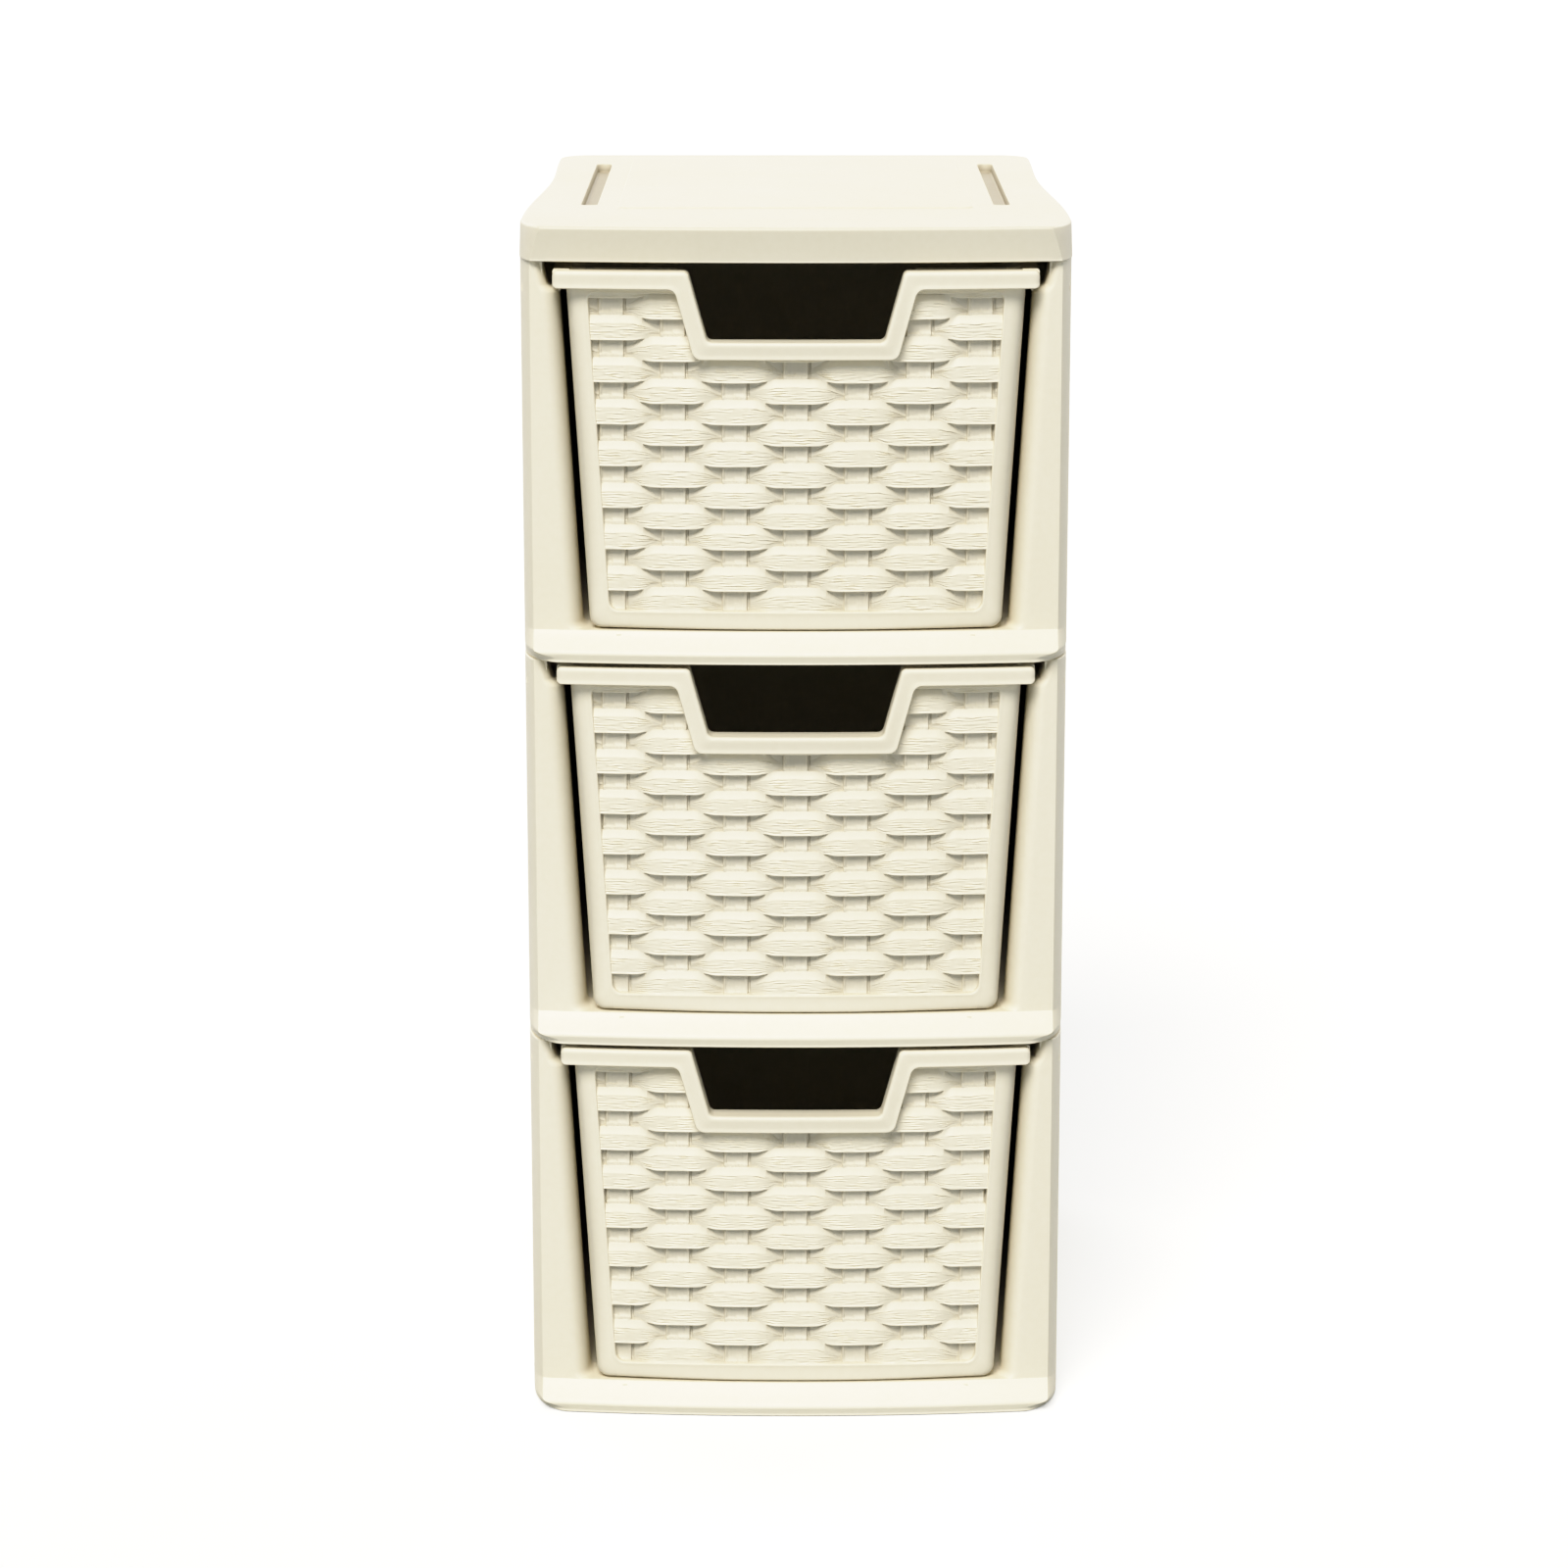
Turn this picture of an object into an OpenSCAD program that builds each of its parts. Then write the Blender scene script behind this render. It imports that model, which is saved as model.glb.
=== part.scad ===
// Three-tier drawer tower, moulded in cream plastic with a basket-weave relief.
// Each tier is one open-fronted frame that stands on the frame below it, and a
// cap closes the top one. Every frame carries one tapered drawer, which hangs
// by its rim on two runner ledges and pulls out towards the front.
//
// Frame of reference: +Z up, +X to the right, the drawers face -Y.
// The origin is the centre of the footprint, on the floor. Units: mm.

/* [Tower] */
// Greatest width, across the front columns
tower_w = 186; // [182:1:192]
// Depth from the front of the base lip to the back wall
tower_d = 250; // [236:1:262]
// Height of one tier, seam to seam
tier_h = 134.7; // [128:0.1:142]
// Radius of the shallow curve of the front, in plan
bow_r = 720; // [600:10:1200]
// How far the sides draw in behind the front columns
waist = 4.4; // [0:0.1:5]

/* [Frames] */
// Wall thickness of the frames
wall = 2.0; // [1.8:0.1:2.4]
// Top of the shelf above the seam
shelf_z = 10.7; // [10:0.1:11]
// How far the base lip stands out in front of the drawer faces
lip_out = 5.6; // [4:0.1:7]
// Height of the upright edge of the base lip
lip_edge = 4.2; // [3:0.1:5]
// Half width of the drawer opening at the shelf
open_low = 72.6; // [72:0.1:73]
// Half width of the drawer opening just under the runner
open_high = 79.6; // [79.2:0.1:80]
// Half width of the pocket that the drawer rim runs in
pocket = 83.1; // [82.5:0.1:83.6]
// Inner edge of the runner ledges, half width
ledge_x = 78.9; // [78.6:0.1:79.2]

/* [Cap] */
// Height of the cap band
cap_h = 12; // [11:0.1:14]
// How much taller the upper frame's walls are, under the cap
cap_rise = 1.1; // [0:0.1:2]
// How far the cap stands out in front of the drawer faces
cap_out = 3.5; // [2:0.1:4]
// How far the central panel of the cap is raised
panel_up = 0.4; // [0.2:0.1:0.8]
// Half distance between the two stacking slots in the cap
slot_x = 71.5; // [70:0.1:74]
// Width of a stacking slot
slot_w = 5.3; // [5:0.1:6]
// Length of a stacking slot
slot_l = 143; // [130:1:150]

/* [Drawers] */
// Half width of the drawer rim and handle bar
rim_x = 81.2; // [80.8:0.1:81.6]
// Height of the rim and handle bar
bar_h = 6.2; // [5.6:0.1:6.6]
// How far the handle bar stands out of the drawer face
bar_out = 4.8; // [4:0.1:5.2]
// Half width of the drawer face at its bottom edge
face_low = 69.8; // [69:0.1:70.2]
// Half width of the drawer face under the bar
face_high = 76.9; // [76:0.1:77.2]
// Half width of the finger notch at its top
notch_top = 36; // [32:0.5:38]
// Half width of the finger notch at its bottom
notch_low = 29.5; // [26:0.5:31]
// Depth of the finger notch
notch_h = 23.8; // [20:0.1:26]
// Width of the raised band round the notch
band_w = 6; // [5:0.1:7]
// Width of the smooth border of the drawer face
border = 7.3; // [6:0.1:9]
// Wall thickness of the bins
bin_wall = 1.7; // [1.5:0.1:2.2]
// Travel of a drawer
travel = 160; // [140:1:160]

/* [Hidden] */

CREAM = [0.93, 0.90, 0.80];
CREAM_CAP = [0.94, 0.91, 0.82];
CREAM_DRAWER = [0.91, 0.88, 0.78];

hw = tower_w / 2;
y0 = lip_out - tower_d / 2;       // face plane of the drawers, on the centre line
t_back = tower_d - lip_out;       // back wall, counted from the face plane
gap = 0.3;                        // running clearance
bar_top = tier_h - 1.3;           // top of a drawer rim above its seam
bar_bot = bar_top - bar_h;
ledge_z = bar_bot - gap;          // top of the runner ledges
ledge_t = 2;
back_r = 12;
face_bot = shelf_z + 0.5;
slope = (face_high - face_low) / (bar_bot - face_bot);
t_rear = t_back - wall - 2.7;     // rear end of a drawer rim

function step01(u) = let (v = max(0, min(1, u))) v * v * (3 - 2 * v);
function bow(x) = x * x / (2 * bow_r);
// half width of the tower at a distance t behind the face plane
function side(t) = hw - waist * step01((t - 40) / 120)
                 + 0.9 * step01((t - 165) / 60);

// Right half of a plan outline, front centre to back centre.
// out: how far the front stands out, i: inset, rx and ry: front corner.
function half(out, i, rx, ry, nb = 10, nc = 7, ns = 16) =
    let (xs = hw - i - rx,
         tf = i - out,
         tc = tf + bow(xs) + ry,
         tb = t_back - back_r,
         rb = back_r - i)
    concat(
        [for (k = [0 : nb]) let (x = xs * k / nb) [x, tf + bow(x)]],
        [for (k = [1 : nc]) let (a = 90 * k / nc)
            [xs + rx * sin(a), tc - ry * cos(a)]],
        [for (k = [1 : ns]) let (t = max(tc, 30) + (tb - max(tc, 30)) * (k - 1) / (ns - 1))
            if (t > tc + 0.5) [side(t) - i, t]],
        [for (k = [1 : nc]) let (a = 90 * k / nc)
            [side(tb) - i - rb + rb * cos(a), tb + rb * sin(a)]]);

function mirrored(h) = concat(h,
    [for (k = [len(h) - 1 : -1 : 0]) if (h[k][0] > 0.001) [-h[k][0], h[k][1]]]);

function plan(out, i, rx, ry) =
    [for (p = mirrored(half(out, i, rx, ry))) [p[0], p[1] + y0]];

// outlines used by the pieces
function body_plan(i) = plan(0, i, max(5.5 - i, 1.5), max(5.5 - i, 1.5));

// A front strip of a plan outline, closed by a straight line at t_cut
function strip(out, i, rx, ry, t_cut) =
    let (h = [for (p = half(out, i, rx, ry, 10, 9)) if (p[1] < t_cut - 0.5) p],
         e = [side(t_cut) - i, t_cut])
    [for (p = mirrored(concat(h, [e]))) [p[0], p[1] + y0]];

// Solid slab between two copies of the bowed front line
module bowed(t0, t1, z0, z1, w = 95, n = 20) {
    translate([0, 0, z0]) linear_extrude(z1 - z0)
        polygon(concat(
            [for (k = [-n : n]) let (x = w * k / n) [x, y0 + t0 + bow(x)]],
            [for (k = [n : -1 : -n]) let (x = w * k / n) [x, y0 + t1 + bow(x)]]));
}

// Upright profile drawn in X and Z, carried from t0 to t1
module upright(pts, t0, t1) {
    translate([0, y0 + t1, 0]) rotate([90, 0, 0])
        linear_extrude(t1 - t0) polygon(pts);
}

// Profile drawn in Y and Z, carried across the width
module across(pts, w) {
    translate([-w, 0, 0]) rotate([90, 0, 90])
        linear_extrude(2 * w) polygon([for (p = pts) [p[0] + y0, p[1]]]);
}

module box_at(x0, x1, t0, t1, z0, z1) {
    translate([x0, y0 + t0, z0]) cube([x1 - x0, t1 - t0, z1 - z0]);
}

module both_sides() {
    children();
    mirror([1, 0, 0]) children();
}

// ---------------------------------------------------------------- frames

module tier_ring(h) {
    difference() {
        linear_extrude(h) polygon(body_plan(0));
        translate([0, 0, -1]) linear_extrude(h + 2) polygon(body_plan(wall));
        // opening for the drawer face, with the pocket for the rim above it
        upright([[-open_low, shelf_z], [open_low, shelf_z],
                 [open_high, ledge_z], [pocket, ledge_z],
                 [pocket + 2.6, h + 1], [-pocket - 2.6, h + 1],
                 [-pocket, ledge_z], [-open_high, ledge_z]], -10, 22);
    }
}

module tier_lip() {
    difference() {
        hull() {
            linear_extrude(lip_edge) polygon(strip(lip_out, 0, 15, 15, 17));
            translate([0, 0, shelf_z - 0.4]) linear_extrude(0.4)
                polygon(strip(0, 0, 5.5, 5.5, 17));
        }
        // hollow behind the lip, open below
        hull() {
            translate([0, 0, -1]) linear_extrude(lip_edge)
                polygon(strip(lip_out, wall, 14, 14, 17.6));
            translate([0, 0, shelf_z - 2.6]) linear_extrude(0.2)
                polygon(strip(0, wall, 5.5, 5.5, 17.6));
        }
    }
}

module tier_shelf() {
    difference() {
        translate([0, 0, shelf_z - 2]) linear_extrude(2) polygon(body_plan(wall - 0.4));
    }
    // ribs under the shelf
    for (x = [-60, -20, 20, 60])
        box_at(x - 0.8, x + 0.8, 3, t_back - wall + 0.2, shelf_z - 5, shelf_z - 1.5);
    for (t = [50, 98, 146, 194])
        box_at(-side(t) + wall - 0.3, side(t) - wall + 0.3, t - 0.8, t + 0.8, shelf_z - 5, shelf_z - 1.5);
}

// column return behind the front flange
module tier_column() {
    upright([[open_low, shelf_z - 0.5], [open_low + 2, shelf_z - 0.5],
             [open_high + 2, ledge_z - 0.2], [open_high, ledge_z - 0.2]],
            bow(open_high) - 0.2 + 1.4, 20);
}

module tier_runner() {
    difference() {
        union() {
            // ledge
            box_at(ledge_x, 95, 2, t_back, ledge_z - ledge_t, ledge_z);
            // gussets under the ledge
            for (t = [64, 120, 176])
                translate([0, y0 + t + 0.9, 0]) rotate([90, 0, 0]) linear_extrude(1.8)
                    polygon([[ledge_x + 0.5, ledge_z - 1], [95, ledge_z - 1],
                             [95, ledge_z - 22], [90, ledge_z - 22]]);
            // stop for the drawer, under the ledge's inner edge
            box_at(77, ledge_x + 2, 226 - travel - 4.5, 226 - travel - 0.5, ledge_z - 8, ledge_z);
        }
        // everything outside the side wall's middle is trimmed away
        translate([0, 0, ledge_z - 40]) linear_extrude(60) difference() {
            translate([-130, -200]) square([260, 400]);
            polygon(body_plan(wall / 2));
        }
        // front flange keeps its own shape
        box_at(0, 100, -12, bow(open_high) + 1.2, ledge_z - 40, ledge_z + 20);
    }
}

module tier_tongue(h) {
    difference() {
        union() {
            translate([0, 0, h - 6]) linear_extrude(6) difference() {
                polygon(body_plan(wall - 0.4));
                polygon(body_plan(wall + 1.75));
            }
            translate([0, 0, h - 3]) linear_extrude(7) difference() {
                polygon(body_plan(wall + 0.25));
                polygon(body_plan(wall + 1.75));
            }
        }
        translate([0, 0, h - 10]) linear_extrude(20)
            translate([-130, y0 - 60]) square([260, 82]);
    }
}

module tier_frame(k) {
    h = tier_h + (k == 2 ? cap_rise : 0);
    translate([0, 0, k * tier_h]) {
        tier_ring(h);
        tier_lip();
        tier_shelf();
        both_sides() tier_column();
        both_sides() tier_runner();
        tier_tongue(h);
    }
}

module frame_lower() { color(CREAM) tier_frame(0); }
module frame_middle() { color(CREAM) tier_frame(1); }
module frame_upper() { color(CREAM) tier_frame(2); }

// ---------------------------------------------------------------- cap

module top_cap() {
    color(CREAM_CAP) translate([0, 0, 3 * tier_h + cap_rise]) difference() {
        union() {
            difference() {
                union() {
                    hull() {
                        linear_extrude(0.6) polygon(strip(cap_out, 0, 6, 7, 38));
                        translate([0, 0, cap_h - 0.6]) linear_extrude(0.6)
                            polygon(strip(cap_out, 0, 15.5, 27, 38));
                    }
                    intersection() {
                        linear_extrude(cap_h) polygon(plan(cap_out, 0, 15.5, 27));
                        box_at(-100, 100, 37.9, 300, -1, cap_h + 1);
                    }
                }
                // hollow below the top plate
                hull() {
                    translate([0, 0, -0.5]) linear_extrude(1)
                        polygon(strip(cap_out, wall, 6, 7, 38.5));
                    translate([0, 0, cap_h - wall - 0.5]) linear_extrude(0.5)
                        polygon(strip(cap_out, wall, 15.5, 27, 38.5));
                }
                intersection() {
                    translate([0, 0, -0.5]) linear_extrude(cap_h - wall + 0.5)
                        polygon(plan(cap_out, wall, 15.5, 27));
                    box_at(-100, 100, 38, 300, -1, cap_h + 1);
                }
            }
            // central panel, raised a little
            box_at(-61, 61, 56, 228, cap_h - 1, cap_h + panel_up);
            // thickening under the stacking slots
            both_sides() box_at(slot_x - 4.8, slot_x + 4.8, 64, 66 + slot_l + 4,
                                cap_h - 5.2, cap_h - 1);
        }
        // stacking slots with round ends
        both_sides() translate([slot_x, y0 + 67, cap_h - 3]) {
            translate([-slot_w / 2, slot_w / 2, 0]) cube([slot_w, slot_l - slot_w, 10]);
            translate([0, slot_w / 2, 0]) cylinder(h = 10, r = slot_w / 2, $fn = 48);
            translate([0, slot_l - slot_w / 2, 0]) cylinder(h = 10, r = slot_w / 2, $fn = 48);
        }
    }
}

// ---------------------------------------------------------------- drawers

function arc(cx, cz, r, a0, a1, n = 6) =
    [for (k = [0 : n]) let (a = a0 + (a1 - a0) * k / n) [cx + r * cos(a), cz + r * sin(a)]];

function face_x(z) = face_low + (z - face_bot) * slope;

// x of the notch's inner edge, and of the band's outer edge, at height z
notch_k = (notch_top - notch_low) / notch_h;
function notch_x(z) = notch_top - (bar_top - z) * notch_k;
function band_x(z) = notch_x(z) + band_w * sqrt(1 + notch_k * notch_k);
notch_bot = bar_top - notch_h;
band_bot = notch_bot - band_w;

module notch_cut(t0, t1) {
    upright([[-notch_x(bar_top + 2), bar_top + 2], [-notch_x(notch_bot), notch_bot],
             [notch_x(notch_bot), notch_bot], [notch_x(bar_top + 2), bar_top + 2]], t0, t1);
}

// face plate of a drawer, with the recessed window that holds the weave
module drawer_face() {
    w = border;
    difference() {
        intersection() {
            bowed(0, 3.2, face_bot, bar_bot + 1);
            upright(concat(
                [[face_x(bar_bot + 1), bar_bot + 1], [-face_x(bar_bot + 1), bar_bot + 1]],
                arc(-face_low + 3.9, face_bot + 4, 4, 180, 270),
                arc(face_low - 3.9, face_bot + 4, 4, 270, 360)), -5, 12);
        }
        intersection() {
            bowed(-3, 1.7, face_bot, bar_bot + 0.1);
            upright(concat(
                [[face_x(bar_bot + 0.1) - w, bar_bot + 0.1], [-face_x(bar_bot + 0.1) + w, bar_bot + 0.1]],
                arc(-face_x(face_bot + 6.3) + w + 3.9, face_bot + 6.3 + 4, 4, 180, 270),
                arc(face_x(face_bot + 6.3) - w - 3.9, face_bot + 6.3 + 4, 4, 270, 360)), -5, 12);
        }
        notch_cut(-20, 20);
    }
}

// handle bar, with the band that follows the notch down
module drawer_bar() {
    difference() {
        intersection() {
            bowed(-bar_out, 3.2, band_bot, bar_top);
            upright([[-rim_x, bar_top], [-rim_x, bar_bot], [-band_x(bar_bot), bar_bot],
                     [-band_x(band_bot), band_bot], [band_x(band_bot), band_bot],
                     [band_x(bar_bot), bar_bot], [rim_x, bar_bot], [rim_x, bar_top]], -20, 20);
        }
        notch_cut(-20, 20);
    }
}

// tapered bin: outer or inner form, inset by i
module bin_form(i, z0, z1) {
    bx = face_x(z0) - 0.9 - i;
    tx = face_x(z1) - 0.9 - i;
    intersection() {
        upright([[-bx, z0], [bx, z0], [tx, z1], [-tx, z1]], -10, 300);
        across([[-8, z0], [t_rear - 4 - (bar_top - z0) * slope - i, z0],
                [t_rear - 4 - (bar_top - z1) * slope - i, z1], [-8, z1]], 120);
    }
}

module drawer_bin() {
    difference() {
        union() {
            bin_form(0, face_bot + 1, bar_top);
            // rim flange
            box_at(-rim_x, rim_x, bow(rim_x) - 1, t_rear, bar_top - 2, bar_top);
            // rim skirts, on both sides and at the back
            both_sides() box_at(rim_x - 1.8, rim_x, bow(rim_x) - 1, t_rear, bar_bot, bar_top);
            box_at(-rim_x, rim_x, t_rear - 1.8, t_rear, bar_bot, bar_top);
        }
        bin_form(bin_wall, face_bot + 1 + bin_wall, bar_top + 3);
        // nothing of the bin stands in front of the face plate
        bowed(-40, 1.6, -1, bar_top + 5, 100);
        notch_cut(-20, 20);
    }
    // stop tabs at the rear of the bin
    both_sides() box_at(face_x(ledge_z - 7.5) - 2, 78.5, 226, 229, ledge_z - 7.5, bar_bot + 3);
}

module drawer(k) {
    translate([0, 0, k * tier_h]) {
        drawer_face();
        drawer_bar();
        drawer_bin();
    }
}

module drawer_lower() { color(CREAM_DRAWER) drawer(0); }
module drawer_middle() { color(CREAM_DRAWER) drawer(1); }
module drawer_upper() { color(CREAM_DRAWER) drawer(2); }

top_cap();
frame_upper();
frame_middle();
frame_lower();
drawer_upper();
drawer_middle();
drawer_lower();
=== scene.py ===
import math
import bmesh
import bpy
import numpy as np
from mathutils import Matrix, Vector


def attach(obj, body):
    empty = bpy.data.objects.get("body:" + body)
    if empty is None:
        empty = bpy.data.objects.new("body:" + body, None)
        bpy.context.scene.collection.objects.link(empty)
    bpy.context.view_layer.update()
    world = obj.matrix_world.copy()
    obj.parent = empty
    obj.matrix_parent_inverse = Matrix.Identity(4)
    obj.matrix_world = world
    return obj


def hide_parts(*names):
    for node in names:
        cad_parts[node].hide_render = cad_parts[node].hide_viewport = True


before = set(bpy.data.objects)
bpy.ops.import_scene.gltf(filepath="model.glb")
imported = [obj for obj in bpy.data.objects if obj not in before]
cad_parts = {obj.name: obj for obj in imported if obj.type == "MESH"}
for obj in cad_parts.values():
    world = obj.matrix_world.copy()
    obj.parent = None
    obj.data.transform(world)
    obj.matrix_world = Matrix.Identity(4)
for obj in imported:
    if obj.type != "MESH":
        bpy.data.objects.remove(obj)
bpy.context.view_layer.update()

# ---------------------------------------------------------------------------
# Everything below is built in millimetres in the tower's own frame, in the
# coordinates x (across), t (behind the face plane of the drawers) and z (up),
# and turned into metres when a piece is finished.
# ---------------------------------------------------------------------------
W, D, TIER, BOW = 186.0, 250.0, 134.7, 720.0
WAIST, WALL, SHELF = 4.4, 2.0, 10.7
LIP_OUT, CAP_OUT, CAP_H, CAP_RISE = 5.6, 3.5, 12.0, 1.1
OPEN_LOW, OPEN_HIGH, POCKET, LEDGE_X = 72.6, 79.6, 83.1, 78.9
RIM_X, BAR_H, BAR_OUT = 81.2, 6.2, 4.8
FACE_LOW, FACE_HIGH = 69.8, 76.9
NOTCH_TOP, NOTCH_LOW, NOTCH_H, BAND_W = 36.0, 29.5, 23.8, 6.0
BORDER, BIN_WALL, TRAVEL = 7.3, 1.7, 160.0

HW = W / 2
Y0 = LIP_OUT - D / 2
T_BACK = D - LIP_OUT
BAR_TOP = TIER - 1.3
BAR_BOT = BAR_TOP - BAR_H
LEDGE_Z = BAR_BOT - 0.3
BACK_R = 12.0
FACE_BOT = SHELF + 0.5
SLOPE = (FACE_HIGH - FACE_LOW) / (BAR_BOT - FACE_BOT)
T_REAR = T_BACK - WALL - 2.7


def sstep(u):
    u = np.clip(u, 0.0, 1.0)
    return u * u * (3 - 2 * u)


def bow(x):
    return x * x / (2 * BOW)


def side(t):
    return HW - WAIST * sstep((t - 40) / 120) + 0.9 * sstep((t - 165) / 60)


def face_x(z):
    return FACE_LOW + (z - FACE_BOT) * SLOPE


# ------------------------------------------------------------------ meshes

def make(name, verts, faces):
    """A mesh object, in millimetres (x, t, z), with its normals outwards."""
    me = bpy.data.meshes.new(name)
    v = np.asarray(verts, float).copy()
    v[:, 1] += Y0
    me.from_pydata(v.tolist(), [], [tuple(int(i) for i in f) for f in faces])
    bm = bmesh.new()
    bm.from_mesh(me)
    bmesh.ops.recalc_face_normals(bm, faces=bm.faces)
    bm.to_mesh(me)
    bm.free()
    ob = bpy.data.objects.new(name, me)
    bpy.context.scene.collection.objects.link(ob)
    return ob


def loft(name, rings, caps=(True, True)):
    """Closed rings joined one to the next, with a flat cap at both ends."""
    r = np.asarray(rings, float)
    m, n, _ = r.shape
    faces = []
    for i in range(m - 1):
        a, b = i * n, (i + 1) * n
        faces += [(a + j, a + (j + 1) % n, b + (j + 1) % n, b + j) for j in range(n)]
    if caps[0]:
        faces.append(tuple(range(n)))
    if caps[1]:
        faces.append(tuple((m - 1) * n + j for j in range(n))[::-1])
    return make(name, r.reshape(-1, 3), faces)


def strip(name, levels):
    """A wall between an outer and an inner path, from the first level to the last."""
    rings = [np.vstack([o, i[::-1]]) for o, i in levels]
    r = np.asarray(rings, float)
    m, n, _ = r.shape
    h = n // 2
    faces = []
    for i in range(m - 1):
        a, b = i * n, (i + 1) * n
        faces += [(a + j, a + (j + 1) % n, b + (j + 1) % n, b + j) for j in range(n)]
    for base in (0, (m - 1) * n):
        faces += [(base + k, base + k + 1, base + n - 2 - k, base + n - 1 - k) for k in range(h - 1)]
    return make(name, r.reshape(-1, 3), faces)


def prism(name, pts, t0, t1):
    """A polygon in x and z, carried from t0 to t1."""
    return loft(name, [[(x, t0, z) for x, z in pts], [(x, t1, z) for x, z in pts]])


def box(name, x0, x1, t0, t1, z0, z1, c=0.0):
    """A block with small bevels on all its edges."""
    if c <= 0:
        return prism(name, [(x0, z0), (x1, z0), (x1, z1), (x0, z1)], t0, t1)

    def ring(t, i):
        a0, a1, b0, b1 = x0 + i, x1 - i, z0 + i, z1 - i
        k = c - i * 0.5
        return [(a0 + k, t, b0), (a1 - k, t, b0), (a1, t, b0 + k), (a1, t, b1 - k),
                (a1 - k, t, b1), (a0 + k, t, b1), (a0, t, b1 - k), (a0, t, b0 + k)]
    return loft(name, [ring(t0, c), ring(t0 + c, 0), ring(t1 - c, 0), ring(t1, c)])


def boolean(a, b, op):
    """a with b added, cut or kept in common. Both are used up."""
    m = a.modifiers.new("b", "BOOLEAN")
    m.operation = op
    m.object = b
    m.solver = "MANIFOLD"
    bpy.context.view_layer.update()
    dg = bpy.context.evaluated_depsgraph_get()
    me = bpy.data.meshes.new_from_object(a.evaluated_get(dg))
    old = a.data
    a.modifiers.clear()
    a.data = me
    bpy.data.meshes.remove(old)
    old = b.data
    bpy.data.objects.remove(b)
    bpy.data.meshes.remove(old)
    return a


def union(a, *others):
    for b in others:
        a = boolean(a, b, "UNION")
    return a


def cut(a, *others):
    for b in others:
        a = boolean(a, b, "DIFFERENCE")
    return a


def keep(a, b):
    return boolean(a, b, "INTERSECT")


def rounded(pts, radii, na=8, step=6.0, ends=()):
    """An open polyline in x and z with round corners, as one list of points per leg and corner."""
    p = [np.array(q, float) for q in pts]
    legs, arcs = [], []
    start = p[0]
    for i in range(1, len(p) - 1):
        u = (p[i - 1] - p[i]) / np.linalg.norm(p[i - 1] - p[i])
        w = (p[i + 1] - p[i]) / np.linalg.norm(p[i + 1] - p[i])
        ang = math.acos(max(-1, min(1, float(u @ w))))
        r = radii[i - 1]
        tl = r / math.tan(ang / 2)
        c = p[i] + (u + w) / np.linalg.norm(u + w) * r / math.sin(ang / 2)
        a, b = p[i] + u * tl, p[i] + w * tl
        va, vb = a - c, b - c
        sweep = math.pi - ang
        sgn = 1 if va[0] * vb[1] - va[1] * vb[0] > 0 else -1
        arc = []
        for k in range(na + 1):
            th = sgn * sweep * k / na
            arc.append(c + np.array([va[0] * math.cos(th) - va[1] * math.sin(th),
                                     va[0] * math.sin(th) + va[1] * math.cos(th)]))
        legs.append((start, a))
        arcs.append(arc)
        start = b
    legs.append((start, p[-1]))
    return legs, arcs


def lay_out(legs, arcs, counts, first=(), last=()):
    """Points along the legs (counts[i] steps each) and corners; first and last give
    distances from the two ends where stations are wanted as well."""
    out = []
    for i, (a, b) in enumerate(legs):
        n = counts[i]
        f = [k / n for k in range(n)]
        ln = np.linalg.norm(b - a)
        if i == 0 and len(first):
            f = [d / ln for d in first] + [g for g in f if g * ln > first[-1] + 0.8]
        if i == len(legs) - 1:
            if len(last):
                f = [g for g in f if (1 - g) * ln > last[-1] + 0.8] + [1 - d / ln for d in last[::-1]]
            else:
                f = f + [1.0]
        if i > 0:
            f = f[1:]
        out += [a + (b - a) * g for g in f]
        if i < len(arcs):
            out += list(arcs[i])
    return np.array(out)


def ribbon(name, a, b, profile, width, end_r=0.0, upright=None, lean=0.0):
    """A bar between two paths of equal length in x and z. The profile gives, over the
    width, how deep the surface lies; the bow of the front is added to it. Where the bar
    runs upright it may have a profile of its own. lean: how far its lower edge falls back
    under the notch."""
    n = len(a)
    prof0 = np.array(profile, float)
    prof1 = prof0 if upright is None else np.array(upright, float)
    rings = []
    da = np.r_[0, np.cumsum(np.linalg.norm(np.diff((a + b) / 2, axis=0), axis=1))]
    for k in range(n):
        pa, pb = a[k].copy(), b[k].copy()
        e = 0.0
        if end_r > 0:
            s = min(da[k], da[-1] - da[k])
            if s < end_r:
                e = end_r - math.sqrt(max(0.0, end_r ** 2 - (end_r - s) ** 2))
        u = (pb - pa) / np.linalg.norm(pb - pa)
        prof = prof0 + (prof1 - prof0) * float(sstep(u[0] ** 2))
        pa, pb = pa + u * e, pb - u * e
        ring = []
        for w, d in prof:
            q = pa + (pb - pa) * (w / width)
            dd = d + (0.75 * e if d < 0 else 0.0)
            if lean > 0 and d < 0:
                dd += lean * (w / width) * float(sstep((BAR_BOT - (pa[1] + pb[1]) / 2) / 12))
            ring.append((q[0], bow(q[0]) + dd, q[1]))
        rings.append(ring)
    return loft(name, rings)


# -------------------------------------------------------------- plan outlines

def corner_start(xc, rx, ry):
    a0 = 0.0
    for _ in range(4):
        a0 = math.atan(rx / ry * (xc + rx * math.sin(a0)) / BOW)
    return a0


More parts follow.
